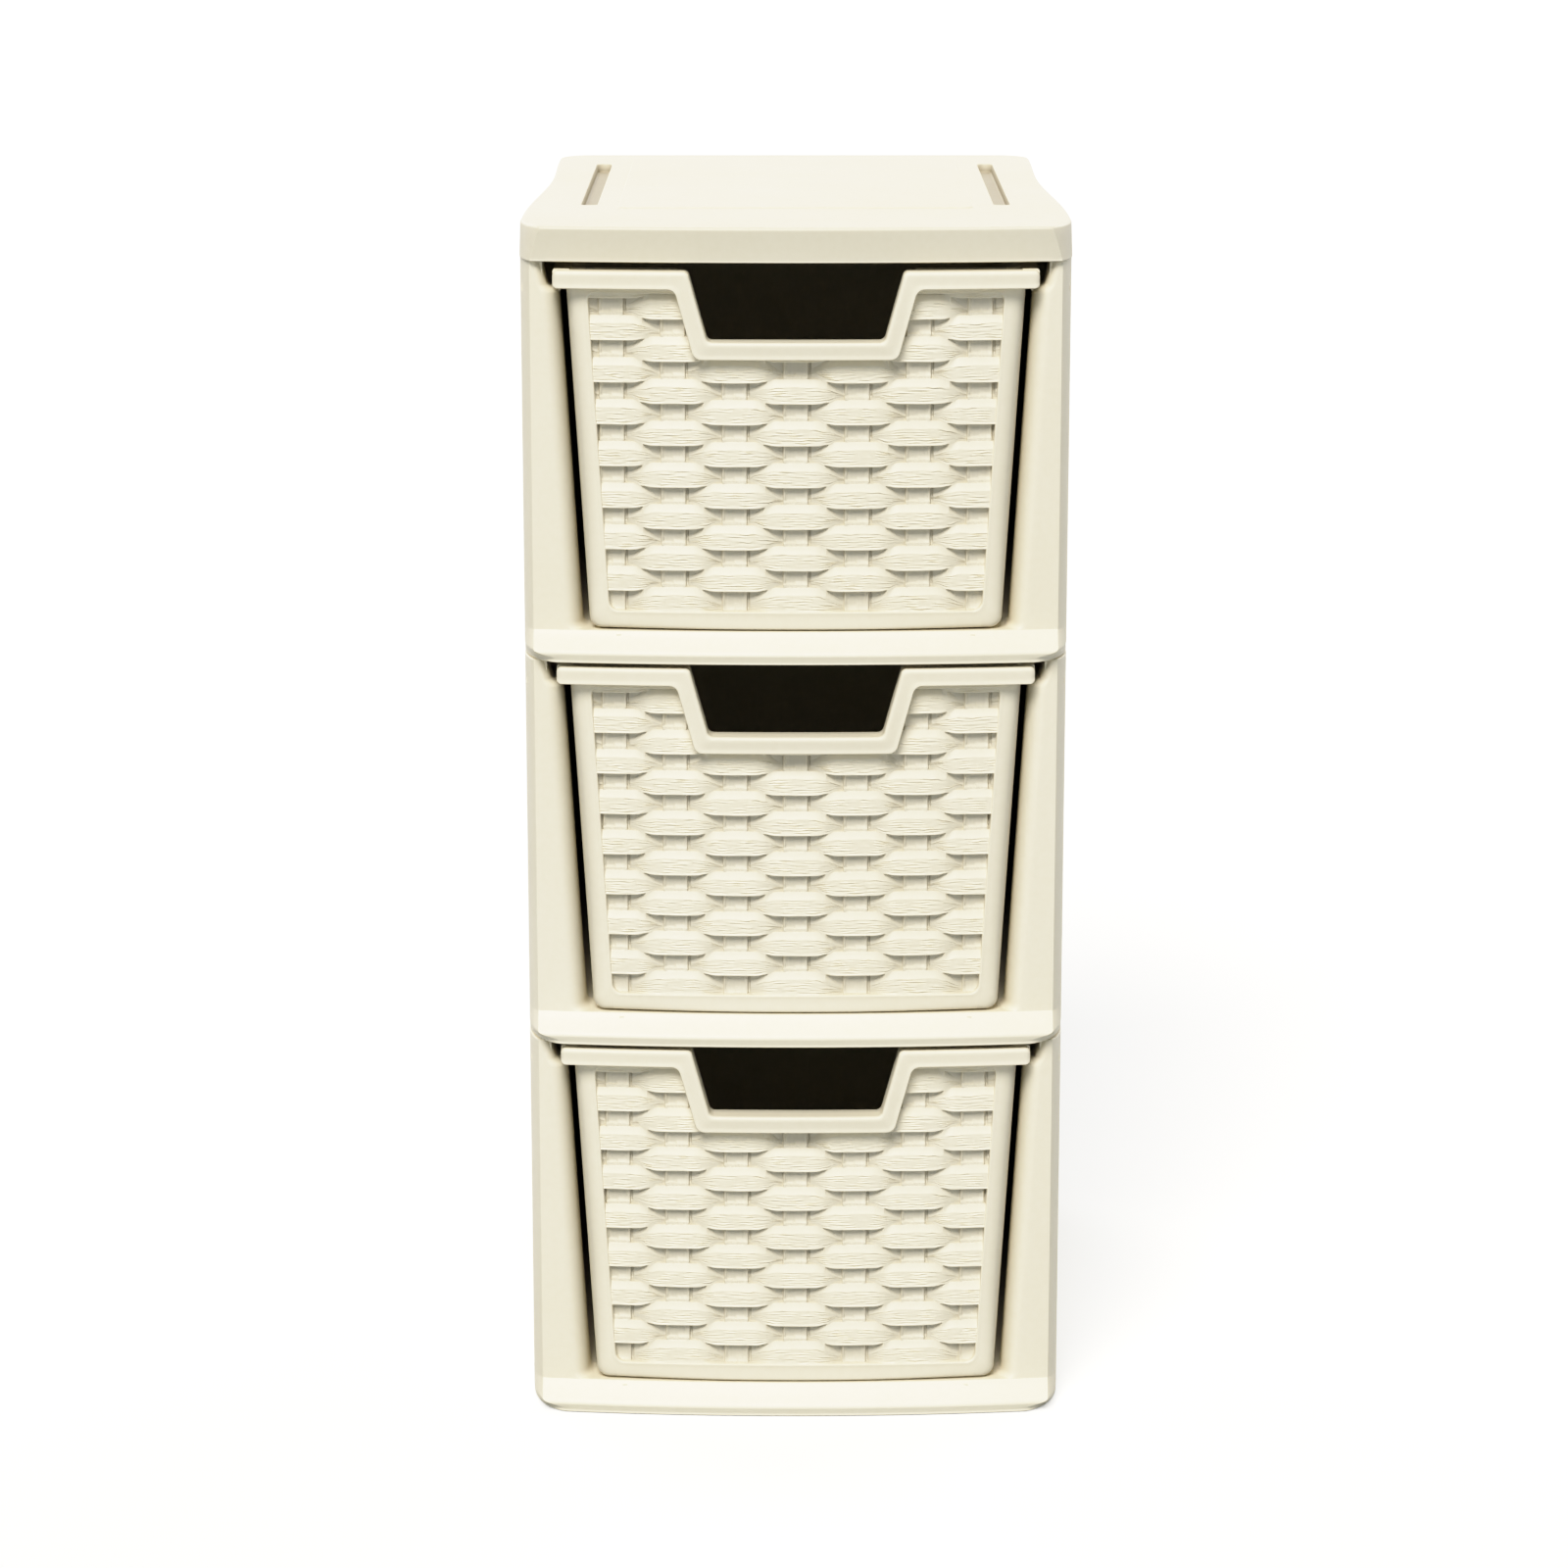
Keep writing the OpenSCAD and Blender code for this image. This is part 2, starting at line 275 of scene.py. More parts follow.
def half_plan(out, i, rx, ry, nf=16, nc=12, ns=30, nb=10, nk=6, x_from=0.0, crease=0.0, face=None):
    """Right half of a plan outline, from the front centre to the back centre. face: the
    front is cut back to this distance, and the corner stays where out puts it."""
    xc = HW - i - rx
    tf = i - out
    a0 = corner_start(xc, rx, ry) + crease
    xs = xc + rx * math.sin(a0)
    tc = tf + bow(xs) + ry * math.cos(a0)
    if face is not None and face < out - 1e-6:
        tf = i - face
        for _ in range(8):
            a0 = math.acos(min(1.0, max(0.0, (tc - tf - bow(xs)) / ry)))
            xs = xc + rx * math.sin(a0)
    tb = T_BACK - BACK_R
    rb = BACK_R - i
    p = [(x_from + (xs - x_from) * k / nf, tf + bow(x_from + (xs - x_from) * k / nf)) for k in range(nf)]
    p += [(xc + rx * math.sin(a), tc - ry * math.cos(a)) for a in np.linspace(a0, math.pi / 2, nc)]
    p += [(side(t) - i, t) for t in np.linspace(tc, tb, ns + 1)[1:]]
    cx = side(tb) - i - rb
    p += [(cx + rb * math.cos(a), tb + rb * math.sin(a)) for a in np.linspace(0, math.pi / 2, nb + 1)[1:]]
    p += [(cx * (1 - k / nk), T_BACK - i) for k in range(1, nk + 1)]
    return p


def full_ring(out, i, rx, ry, z, **kw):
    h = half_plan(out, i, rx, ry, **kw)
    m = [(-x, t) for x, t in h[1:-1]][::-1]
    return [(x, t, z) for x, t in h + m]


def arc_levels(z0, r, up, n=4):
    """Heights and insets of a quarter round of radius r that starts at z0."""
    out = []
    for k in range(n + 1):
        a = math.pi / 2 * k / n
        out.append((z0 + (r * math.sin(a) if up else -r * math.sin(a)), r * (1 - math.cos(a))))
    return out


# -------------------------------------------------------------------- frames

def x_open(z):
    if z < SHELF:
        return OPEN_LOW - 2.0
    base = OPEN_LOW + (OPEN_HIGH - OPEN_LOW) * (z - SHELF) / (LEDGE_Z - SHELF)
    if z < SHELF + 2.4:                                     # fillet on the shelf
        u = 1 - (z - SHELF) / 2.4
        return base - 2.4 * (1 - math.sqrt(max(0.0, 1 - u * u))) * 0.85
    if z <= LEDGE_Z - 2.2:
        return base
    top = POCKET + 2.6 * (z - LEDGE_Z) / (TIER + 1 - LEDGE_Z)
    u = (z - (LEDGE_Z - 2.2)) / 3.2
    return base + (top - base) * float(sstep(u)) if u < 1 else top


def foot_corner(z, o=0.0):
    """Corner of the plan at height z, where the face stands out by o: long and soft at the
    foot of a tier, tight above."""
    f = float(sstep((z - 1.3) / 3.2))
    return 15 - 6.5 * f, 26 * (1 - f) + (21 + 1.15 * o) * f, 0.16 + 0.355 * f, f


def wall_paths(z, o):
    """Outer and inner path of a tier's wall at height z, from the right opening edge
    round the back to the left one. o: inset of the outer skin only."""
    xo = x_open(z)
    k = float(sstep((z - (LEDGE_Z - 2.2)) / 3.2))
    rf = 5.4 - 2.2 * k                                      # round of the opening edge
    fd = 8.5 - 4.1 * k
    f0 = foot_corner(z)[3]
    lip = float(np.interp(z, [0.0, 1.3, 2.3, 3.1, 4.5], [5.0, 5.0, 5.27, 5.5, 5.5]))
    oc = lip * (1 - f0)
    rx, ry, cr, _ = foot_corner(z, oc)
    th = 2.0 - 0.9 * k
    ri = 3.2 - 2.7 * k
    di = 6.4 - 5.4 * k
    te = 19.0
    tf = bow(xo + rf) + fd + o
    a = [(xo, t) for t in np.linspace(te, tf, 4, endpoint=False)]
    a += [(xo + rf - rf * math.cos(g), tf - fd * math.sin(g)) for g in np.linspace(0, math.pi / 2, 9)[:-1]]
    a += half_plan(oc, o, rx - o, ry - o, nf=8, x_from=xo + rf, crease=cr, face=0.0)
    xi = xo + th
    ti = bow(xi + ri) + WALL + di
    b = [(xi, t) for t in np.linspace(te, ti, 4, endpoint=False)]
    b += [(xi + ri - ri * math.cos(g), ti - di * math.sin(g)) for g in np.linspace(0, math.pi / 2, 9)[:-1]]
    b += half_plan(oc, WALL, rx - 2.0, ry - 2.0, nf=8, x_from=xi + ri, face=0.0)
    full = []
    for h in (a, b):
        full.append(np.array([(x, t, z) for x, t in h] + [(-x, t, z) for x, t in h[:-1][::-1]]))
    return full[0], full[1]


def panel(name, u0, u1, z0, z1, at, r=7.0, deep=0.6):
    """Cutter for a shallow panel with round corners in a wall that runs along u."""
    e = np.array([0.0, 0.2, 0.45, 0.7, 1.2, 2.0, 3.0, 4.4, 5.8, 7.0])
    us = np.r_[u0 + e, np.linspace(u0 + 7, u1 - 7, 26)[1:-1], u1 - e[::-1]]
    rings = []
    for u in us:
        k = min(u - u0, u1 - u)
        c = r - math.sqrt(max(0.0, r * r - (r - k) ** 2)) if k < r else 0.0
        d = deep * min(1.0, k / 0.7)
        a, b = z0 + c, z1 - c
        o, m, q = at(u, 2.0), at(u, 0.02), at(u, -d)
        rings.append([(o[0], o[1], a), (o[0], o[1], b), (m[0], m[1], b), (q[0], q[1], b - 0.7), (q[0], q[1], a + 0.7), (m[0], m[1], a)])
    return loft(name, rings)


def frame_piece(name):
    # wall, with its edges eased at the seams
    zs = [(0.0, 0.42), (0.1, 0.2), (0.3, 0.05), (0.5, 0.0), (1.3, 0.0), (1.8, 0.0), (2.3, 0.0), (2.75, 0.0), (3.1, 0.0), (3.5, 0.0), (4.0, 0.0), (4.5, 0.0), (6.0, 0.0), (7.6, 0.0), (9.2, 0.0), (SHELF - 0.05, 0.0)]
    zs += [(SHELF + d, 0.0) for d in (0.12, 0.4, 0.8, 1.3, 1.9, 2.4)]
    zs += [(z, 0.0) for z in np.linspace(SHELF + 2.4, LEDGE_Z - 2.2, 12)[1:]]
    zs += [(LEDGE_Z - 2.2 + d, 0.0) for d in (0.3, 0.7, 1.1, 1.5, 1.9, 2.3, 2.7, 3.0, 3.2)]
    zs += [(129.5, 0.0), (132.0, 0.0), (TIER - 0.5, 0.0), (TIER - 0.3, 0.05), (TIER - 0.1, 0.2), (TIER, 0.42)]
    body = strip(name, [wall_paths(z, o) for z, o in zs])

    # base: front lip, bevel, shelf, all open below
    i0 = 0.05
    rings = []
    inner_top = SHELF - 2.0
    for z, i in ((inner_top, 3.2), (inner_top - 0.35, 2.3), (inner_top - 1.2, 2.0), (4.0, 2.0), (0.0, 2.0)):
        f = min(1.0, max(0.0, (z - 3.4) / (SHELF - 3.4)))
        rings.append(full_ring(LIP_OUT * (1 - f), i, 15.3 - i, 26.3 - i, z))
    for z, i, o in ((0.0, 0.55, 5.0), (0.06, 0.30, 5.03), (0.2, 0.12, 5.07), (0.4, 0.03, 5.10), (0.62, 0.0, 5.02), (0.85, 0.0, 4.95), (1.3, 0.0, 5.05)):
        rings.append(full_ring(o, i + i0, 15, 26, z, crease=0.16))
    # profile of the lip: upright edge, round, bevel, round
    prof = [(5.22, 1.8), (5.34, 2.3), (5.5, 2.75), (LIP_OUT, 3.1), (5.52, 3.5), (5.3, 4.0), (4.95, 4.45), (4.5, 4.95),
            (3.6, 5.95), (2.7, 6.98), (1.8, 8.05), (1.15, 8.85), (0.7, 9.5), (0.35, 10.1), (0.1, 10.5), (-0.25, SHELF)]
    for o, z in prof:
        rx, ry, cr, _ = foot_corner(z, o)
        rings.append(full_ring(o, i0, rx, ry, z, crease=cr))
    base = loft(name + "_b", rings)
    body = union(body, base)

    # runner ledges with gussets and stops
    for s in (1, -1):
        def X(a, b):
            return (a, b) if s > 0 else (-b, -a)
        # the ledge follows the waisted side wall
        o, i = [], []
        tb = T_BACK - BACK_R
        for t in np.r_[np.linspace(12.6, tb, 34), np.linspace(tb, T_BACK - 1.2, 9)[1:]]:
            xo = side(t) if t < tb else side(tb) - BACK_R + math.sqrt(BACK_R ** 2 - (t - tb) ** 2)
            o.append((s * (xo - 1.0), t))
            i.append((s * LEDGE_X, t))
        lv = []
        for z, c in ((LEDGE_Z - 2, 0.3), (LEDGE_Z - 1.7, 0.0), (LEDGE_Z - 0.4, 0.0), (LEDGE_Z - 0.1, 0.12), (LEDGE_Z - 0.02, 0.4)):
            lv.append((np.array([(x, t, z) for x, t in o]), np.array([(x + s * c, t, z) for x, t in i])))
        body = union(body, strip(name + "_l", lv))
        for t in (64, 120, 176):
            xw = side(t) - 1.0
            g = prism(name + "_g", [(s * (LEDGE_X + 0.6), LEDGE_Z - 1), (s * xw, LEDGE_Z - 1),
                                    (s * xw, LEDGE_Z - 22), (s * (xw - 2.2), LEDGE_Z - 21.4)], t - 0.9, t + 0.9)
            body = union(body, g)
        x0, x1 = X(77.0, LEDGE_X + 2)
        body = union(body, box(name + "_s", x0, x1, 226 - TRAVEL - 4.5, 226 - TRAVEL - 0.5, LEDGE_Z - 8, LEDGE_Z - 0.5, 0.3))
        # lid on the hollow column
        cp = [(s * x, t) for x, t in ((86.0, 6.7), (88.6, 6.7), (90.2, 9.6), (91.3, 13.2), (91.9, 17.5), (91.9, 21.5), (86.0, 21.5))]
        body = union(body, loft(name + "_c", [[(x, t, z) for x, t in cp] for z in (TIER - 1.6, TIER - 0.3)]))
    for s in (1, -1):
        body = cut(body, panel(name + "_p", 48.0, 208.0, 20.0, 120.0, lambda t, d: (s * (side(t) + d), t)))
    body = cut(body, panel(name + "_p", -68.0, 68.0, 20.0, 120.0, lambda x, d: (x, T_BACK + d)))
    dimple = [[(4.0 * k * math.cos(a), T_BACK + d, 70 + 4.0 * k * math.sin(a)) for a in np.linspace(0, 2 * math.pi, 25)[:-1]]
              for d, k in ((2.0, 1.05), (-0.55, 1.05), (-0.75, 0.98), (-0.85, 0.86), (-0.88, 0.6))]
    body = cut(body, loft(name + "_d", dimple))
    # ribs under the shelf
    for x in (-60, -20, 20, 60):
        body = union(body, box(name + "_r", x - 0.8, x + 0.8, 1.5, T_BACK - 1.0, SHELF - 5, SHELF - 1.2))
    for t in (50, 98, 146, 194):
        body = union(body, box(name + "_r", -side(t) + 1.0, side(t) - 1.0, t - 0.8, t + 0.8, SHELF - 5, SHELF - 1.2))

    # stacking tongue inside the top edge, behind the drawer's rim
    def tongue_path(i, z):
        h = [p for p in half_plan(0, i, 3.0, 3.0, ns=60) if p[1] > 24.5]
        return np.array([(x, t, z) for x, t in h] + [(-x, t, z) for x, t in h[:-1][::-1]])
    lv = [(tongue_path(1.2, TIER - 6), tongue_path(2.9, TIER - 6)),
          (tongue_path(1.2, TIER - 5.2), tongue_path(3.75, TIER - 5.2)),
          (tongue_path(1.2, TIER - 0.6), tongue_path(3.75, TIER - 0.6)),
          (tongue_path(2.25, TIER - 0.5), tongue_path(3.75, TIER - 0.4)),
          (tongue_path(2.25, TIER + 3.2), tongue_path(3.75, TIER + 3.4)),
          (tongue_path(2.6, TIER + 3.9), tongue_path(3.55, TIER + 3.9))]
    body = union(body, strip(name + "_t", lv))
    return body


# ----------------------------------------------------------------------- cap

def rr_ring(x1, t0, t1, r, z, i=0.0, n=8):
    """Rounded rectangle in plan."""
    x = x1 - i
    a0, a1 = t0 + i, t1 - i
    rr = max(0.3, r - i)
    p = []
    for cx, cy, g in ((x - rr, a0 + rr, -90), (x - rr, a1 - rr, 0), (-x + rr, a1 - rr, 90), (-x + rr, a0 + rr, 180)):
        for k in range(n + 1):
            th = math.radians(g + 90 * k / n)
            p.append((cx + rr * math.cos(th), cy + rr * math.sin(th), z))
    return p


def slot_ring(cx, t0, t1, w, z, i=0.0, n=14):
    r = w / 2 - i
    p = []
    for cy, g in ((t1 - w / 2, 0), (t0 + w / 2, 180)):
        for k in range(n + 1):
            th = math.radians(g + 180 * k / n)
            p.append((cx + r * math.cos(th), cy + r * math.sin(th), z))
    return p


def cap_piece(name):
    z1 = CAP_H - 1.1
    rings = []

    def c(z):
        f = min(1.0, max(0.0, (z - 0.6) / (CAP_H - 1.2)))
        return 9 + 4 * f, 19 + 9 * f, 0.50 - 0.12 * f
    # inside, from its top plate down to the rim
    for z, i in ((CAP_H - WALL, 3.4), (CAP_H - WALL - 0.4, 2.4), (CAP_H - WALL - 1.2, 2.0), (6.0, 2.0), (2.0, 2.0), (0.0, 2.0)):
        rx, ry, cr = c(z)
        rings.append(full_ring(CAP_OUT - 1.7, i, max(1.5, rx - i), max(1.5, ry - i), z, ns=30, crease=cr))
    for z, i, o in ((0.0, 0.5, 2.05), (0.05, 0.27, 2.08), (0.16, 0.12, 2.11), (0.36, 0.04, 2.13), (0.58, 0.0, 2.01), (0.8, 0.0, 1.95), (1.5, 0.0, 2.03),
                    (3.5, 0.0, 2.27), (5.5, 0.0, 2.56), (7.5, 0.0, 2.89), (9.5, 0.0, 3.25)):
        rx, ry, cr = c(z)
        rings.append(full_ring(o, i, rx, ry, z, crease=cr))
    rx, ry, cr = c(CAP_H)
    for z, i in arc_levels(z1, 1.1, True, 5):
        rings.append(full_ring(CAP_OUT, i, rx - i, ry - i, z, crease=cr))
    # flat top: a flat rim, then the plate
    rings.append(full_ring(CAP_OUT, 3.0, rx - 3, ry - 3, CAP_H + 0.0, crease=cr))
    cap = loft(name, rings)
    # raised panel
    pl = [rr_ring(61.0, 56.0, 228.0, 3.0, z, i) for z, i in
          ((CAP_H - 1.0, -0.3), (CAP_H + 0.02, -0.3), (CAP_H + 0.10, -0.12), (CAP_H + 0.2, -0.03), (CAP_H + 0.32, 0.0), (CAP_H + 0.37, 0.06), (CAP_H + 0.40, 0.2), (CAP_H + 0.40, 1.0))]
    cap = union(cap, loft(name + "_p", pl))
    for s in (1, -1):
        cap = union(cap, loft(name + "_u", [slot_ring(s * 71.5, 65, 212, 9.3, z, i) for z, i in
                                            ((CAP_H - 4.9, 0.6), (CAP_H - 4.7, 0.1), (CAP_H - 4.4, 0.0), (CAP_H - 1.2, 0.0))]))
    for s in (1, -1):
        lv = [slot_ring(s * 71.5, 67, 210, 5.5, z, i) for z, i in
              ((CAP_H - 3.2, 1.0), (CAP_H - 3.17, 0.7), (CAP_H - 3.05, 0.4), (CAP_H - 2.8, 0.2), (CAP_H - 0.5, 0.0),
               (CAP_H - 0.2, -0.12), (CAP_H - 0.05, -0.4), (CAP_H + 0.0, -0.7), (CAP_H + 2, -0.7))]
        cap = cut(cap, loft(name + "_s", lv))
    return cap


# ------------------------------------------------------------------- drawers

def notch_paths():
    """Upper and lower edge of the handle bar and its band, as matching points."""
    nk = (NOTCH_TOP - NOTCH_LOW) / NOTCH_H
    zb = BAR_TOP - NOTCH_H
    bw = BAND_W * math.sqrt(1 + nk * nk)
    bx1 = NOTCH_TOP - (BAR_TOP - BAR_BOT) * nk + bw
    bx2 = NOTCH_TOP - (BAR_TOP - (zb - BAND_W)) * nk + bw
    bt = BAR_TOP - 0.25
    a = [(-RIM_X, bt), (-NOTCH_TOP, bt), (-NOTCH_LOW, zb), (NOTCH_LOW, zb), (NOTCH_TOP, bt), (RIM_X, bt)]
    b = [(-RIM_X, BAR_BOT), (-bx1, BAR_BOT), (-bx2, zb - BAND_W), (bx2, zb - BAND_W), (bx1, BAR_BOT), (RIM_X, BAR_BOT)]
    la, aa = rounded(a, (2.0, 2.2, 2.2, 2.0))
    lb, ab = rounded(b, (3.4, 3.2, 3.2, 3.4))
    cnt = (8, 4, 8, 4, 8)
    e = (0, 0.06, 0.2, 0.45, 0.8, 1.2, 1.7)
    return lay_out(la, aa, cnt, e, e), lay_out(lb, ab, cnt, e, e)


def border_paths():
    z_top = BAR_BOT + 2.0
    wb = FACE_BOT + 6.3
    zi = BAR_BOT - 2.0
    a = [(-37.6, z_top), (-face_x(z_top), z_top), (-FACE_LOW, FACE_BOT), (FACE_LOW, FACE_BOT), (face_x(z_top), z_top), (37.6, z_top)]
    b = [(-37.6, zi), (-face_x(zi) + BORDER, zi), (-face_x(wb) + BORDER, wb), (face_x(wb) - BORDER, wb), (face_x(zi) - BORDER, zi), (37.6, zi)]
    la, aa = rounded(a, (0.9, 4.0, 4.0, 0.9), na=10)
    lb, ab = rounded(b, (2.4, 3.6, 3.6, 2.4), na=10)
    cnt = (5, 14, 18, 14, 5)
    return lay_out(la, aa, cnt), lay_out(lb, ab, cnt)


PX, PZ, ZR0, RELIEF = 20.6, 7.1, 20.9, 3.0


def weave_slab(name):
    """Basket weave: strands that run across, over and under upright stakes, as one
    closed slab. The grid's own lines follow the strands' edges and fibres."""
    st = [-9.4, -8.4, -7.4, -6.5, -5.7, -5.0, -4.42, -4.22, -3.92, -3.6, -3.2, -2.6, -1.95, -1.3, -0.65, 0.0,
          0.65, 1.3, 1.95, 2.6, 3.05, 3.4, 3.75, 4.02, 4.16, 4.3, 4.52, 4.78, 5.1, 5.8, 6.6, 7.5, 8.5, 9.5, 10.3]
    xs = np.array([c * PX + h for c in range(-4, 5) for h in st])
    xs = np.sort(xs[np.abs(xs) <= 71.5])
    col = np.round(xs / PX).astype(int)
    ds = xs - col * PX
    # a stake's section: shallow middle, raised edges, and a groove on its right
    keys = [-5.0, -4.42, -4.22, -3.92, -3.6, -3.2, -2.6, 0.0, 2.6, 3.05, 3.4, 3.75, 4.02, 4.16, 4.3, 4.52, 4.78, 5.1]
    body = np.interp(ds, keys, [0, 0, 0.78, 0.88, 0.88, 0.86, 0.84, 0.90, 0.84, 0.86, 0.88, 0.88, 0.80, 0.50, 0, 0, 0, 0], left=0, right=0)
    bead = np.interp(ds, keys, [0, 0, 0.42, 0.74, 0.62, 0.14, 0.0, 0.0, 0.0, 0.10, 0.32, 0.40, 0.26, 0.05, 0, 0, 0, 0], left=0, right=0)
    seam = np.interp(ds, keys, [-0.1, -0.1, 0, 0, 0, 0, 0, 0, 0, 0, 0, 0, 0, 0, -0.55, -0.62, -0.60, 0], left=0, right=0)
    near = np.abs(ds) < 2.7
    k = np.round(ds[near] / 0.65).astype(int)
    body[near] += np.where(k % 2 == 0, 0.06, -0.06)

    def wave(seed, f0, f1, n=5):
        """Smooth noise along x, about -1 to 1."""
        r = np.random.RandomState(seed)
        s = np.zeros_like(xs)
        for _ in range(n):
            s += math.sqrt(1 / n) * np.sin(xs * r.uniform(f0, f1) + r.uniform(0, 6.28)) * 1.2
        return s

    def off(r):
        return np.mod(xs - (r % 2) * PX + PX, 2 * PX) - PX

    def crest(r):
        """How far a strand stands out of the floor of the weave."""
        dx = off(r)
        ad = np.abs(dx)
        g = np.random.RandomState(500 + r).uniform(-1, 1, 12)
        amp = 1.0 + 0.03 * g[(np.round((xs - dx) / PX).astype(int) + 6) % 12]
        c = RELIEF * (0.19 + 0.81 * (1 - sstep((ad - 6.8) / 10.2))) * amp
        if r < 0:
            c = np.full_like(c, 0.5)
        return c * (1 - 0.03 * (ad < 9) * (ad / 9) ** 2)

    def arch(r):
        """The upper edge of a strand rises where it crosses a stake."""
        return 1.3 * (1 - sstep((np.abs(off(r)) - 6.6) / 4.0)) * (r >= 0)

    def sag(r):
        ad = np.abs(off(r))
        if r == 0:
            return np.full_like(ad, -0.3)
        return np.where(ad < 9.8, -0.28 + 0.52 * (ad / 9.8) ** 7, 0.24 * (1 - sstep((ad - 9.8) / 1.6)))

    def taper(r):
        """Towards the stake that it dives behind, the strand's upper edge drops."""
        dx = off(r)
        t = np.clip((np.abs(dx) - 10.2) / 6.0, 0, 1)
        return np.where(dx > 0, 3.4, 2.5) * (0.35 * t + 0.65 * sstep(t))

    def stake(r, v):
        """A stake's height in row r, v of the way up the cell: it comes forward towards
        the strand below, which it passes behind."""
        on = (np.abs(col + r) % 2 == 1)
        return (body * (0.80 + 1.0 * (1 - v) ** 2.2) + bead * (0.35 + 0.65 * v) + seam * (0.3 + 0.7 * min(1.0, 3 * v))) * on

    def lay(strand, r, v):
        sk = stake(r, v)
        return np.maximum(strand, sk) + np.minimum(sk, 0.0)

    def bound(r):
        """Border line between row r - 1 and row r."""
        return ZR0 + PZ * (r - 0.5) + arch(r - 1) + sag(r)

    fv = np.linspace(0.06, 0.96, 12)
    ft = 0.69                                                # a strand's face ends here, its bevel starts
    Z, T = [], []
    rows = list(range(-1, 16))
    for r in rows:
        c, cl, cu = crest(r), crest(r - 1), crest(r + 1)
        over, under = c > cl, cu > c
        bl = np.where(over, lay(0.50 * cl, r - 1, 1.0), lay(0.96 * c, r, 0.0))
        bu = np.where(under, lay(0.50 * c, r, 1.0), lay(0.96 * cu, r + 1, 0.0))
        z0 = bound(r)
        if r == rows[0]:
            z0 = np.full_like(xs, ZR0 + PZ * (r - 0.5))
        z3 = bound(r + 1)
        zl = z0 + 0.06 + 0.03 * (1 + wave(1000 + r, 0.15, 0.6))
        zu = z3 - 0.12 - taper(r) - 0.03 * (1 + wave(2000 + r, 0.15, 0.6))
        hgt = zu - zl
        foot = np.where(under, 0.0, 0.96 * cu)               # the strand above runs on at this level
        Z.append(z0); T.append(bl)
        Z.append(z0 + 0.03); T.append(bl)
        hard = np.where(over, 1.0, 0.0)
        # crisp lower edge with a fine bead
        Z.append(zl); T.append(lay(c * (0.955 - 0.075 * hard), r, 0.0))
        Z.append(zl + 0.07); T.append(lay(c * (0.955 + 0.035 * hard), r, 0.0))
        Z.append(zl + 0.30); T.append(lay(c * (0.955 + 0.065 * hard), r, 0.05))
        for j, v in enumerate(fv):
            wob = 0.020 * wave(3000 + r * 40 + j, 0.25, 1.3)
            g = (0.070 + 0.085 * wave(7000 + r * 40 + j // 2, 0.15, 0.8)) * (1 if j % 2 == 0 else -1)
            g = g * (0.25 + 0.75 * sstep(c / 1.8))
            f = 0.955 - 0.05 * (v - 0.4) ** 2
            Z.append(zl + 0.55 + (hgt * ft - 0.55) * (v + wob)); T.append(lay(c * f - g, r, v * ft))
        for u, f in ((0.0, 0.945), (0.07, 0.925), (0.17, 0.885), (0.50, 0.755), (0.82, 0.635)):
            Z.append(zl + hgt * (ft + (1 - ft) * u)); T.append(lay(np.maximum(c * f, foot), r, ft + (1 - ft) * u))
        Z.append(zu); T.append(lay(np.maximum(0.565 * c, foot), r, 1.0))
        Z.append(zu + 0.07); T.append(bu)
    Z.append(np.full_like(xs, ZR0 + PZ * (rows[-1] + 0.5) + 1.5)); T.append(np.zeros_like(xs))
    Z = np.array(Z)
    T = np.array(T)
    m, n = Z.shape
    X = np.broadcast_to(xs, (m, n))
    front = np.stack([X, bow(X) + RELIEF + 0.04 - T, Z], axis=2)
    V = front.reshape(-1, 3)
    idx = np.arange(m * n).reshape(m, n)
    q = np.stack([idx[:-1, :-1], idx[:-1, 1:], idx[1:, 1:], idx[1:, :-1]], axis=2).reshape(-1, 4)
    faces = q.tolist()
    ring = list(idx[0, :]) + list(idx[1:, -1]) + list(idx[-1, -2::-1]) + list(idx[-2:0:-1, 0])
    back = V[ring].copy()
    back[:, 1] = 9.0
    b0 = m * n
    nr = len(ring)
    faces += [(ring[k], b0 + k, b0 + (k + 1) % nr, ring[(k + 1) % nr]) for k in range(nr)]
    faces.append(tuple(b0 + k for k in range(nr)))
    return make(name, np.vstack([V, back]), faces)


def bin_ring(z, i, front):
    """Rounded outline of the bin at height z, inset by i."""
    hx = face_x(max(z, FACE_BOT + 1)) - 0.9 - i
    tr = T_REAR - 4 - (BAR_TOP - z) * SLOPE - i
    tf = 3.5 + front
    rf, rr = max(1.0, 4.0 - i), max(2.0, 11.0 - i)
    h = [(x, tf + bow(x)) for x in np.linspace(0, hx - rf, 11)[:-1]]
    cx = hx - rf
    tc = tf + bow(cx) + rf
    h += [(cx + rf * math.sin(a), tc - rf * math.cos(a)) for a in np.linspace(0, math.pi / 2, 7)]
    h += [(hx, t) for t in np.linspace(tc, tr - rr, 9)[1:]]
    h += [(hx - rr + rr * math.cos(a), tr - rr + rr * math.sin(a)) for a in np.linspace(0, math.pi / 2, 10)[1:]]
    h += [((hx - rr) * (1 - k / 5), tr) for k in range(1, 6)]
    return [(x, t, z) for x, t in h] + [(-x, t, z) for x, t in h[1:-1][::-1]]


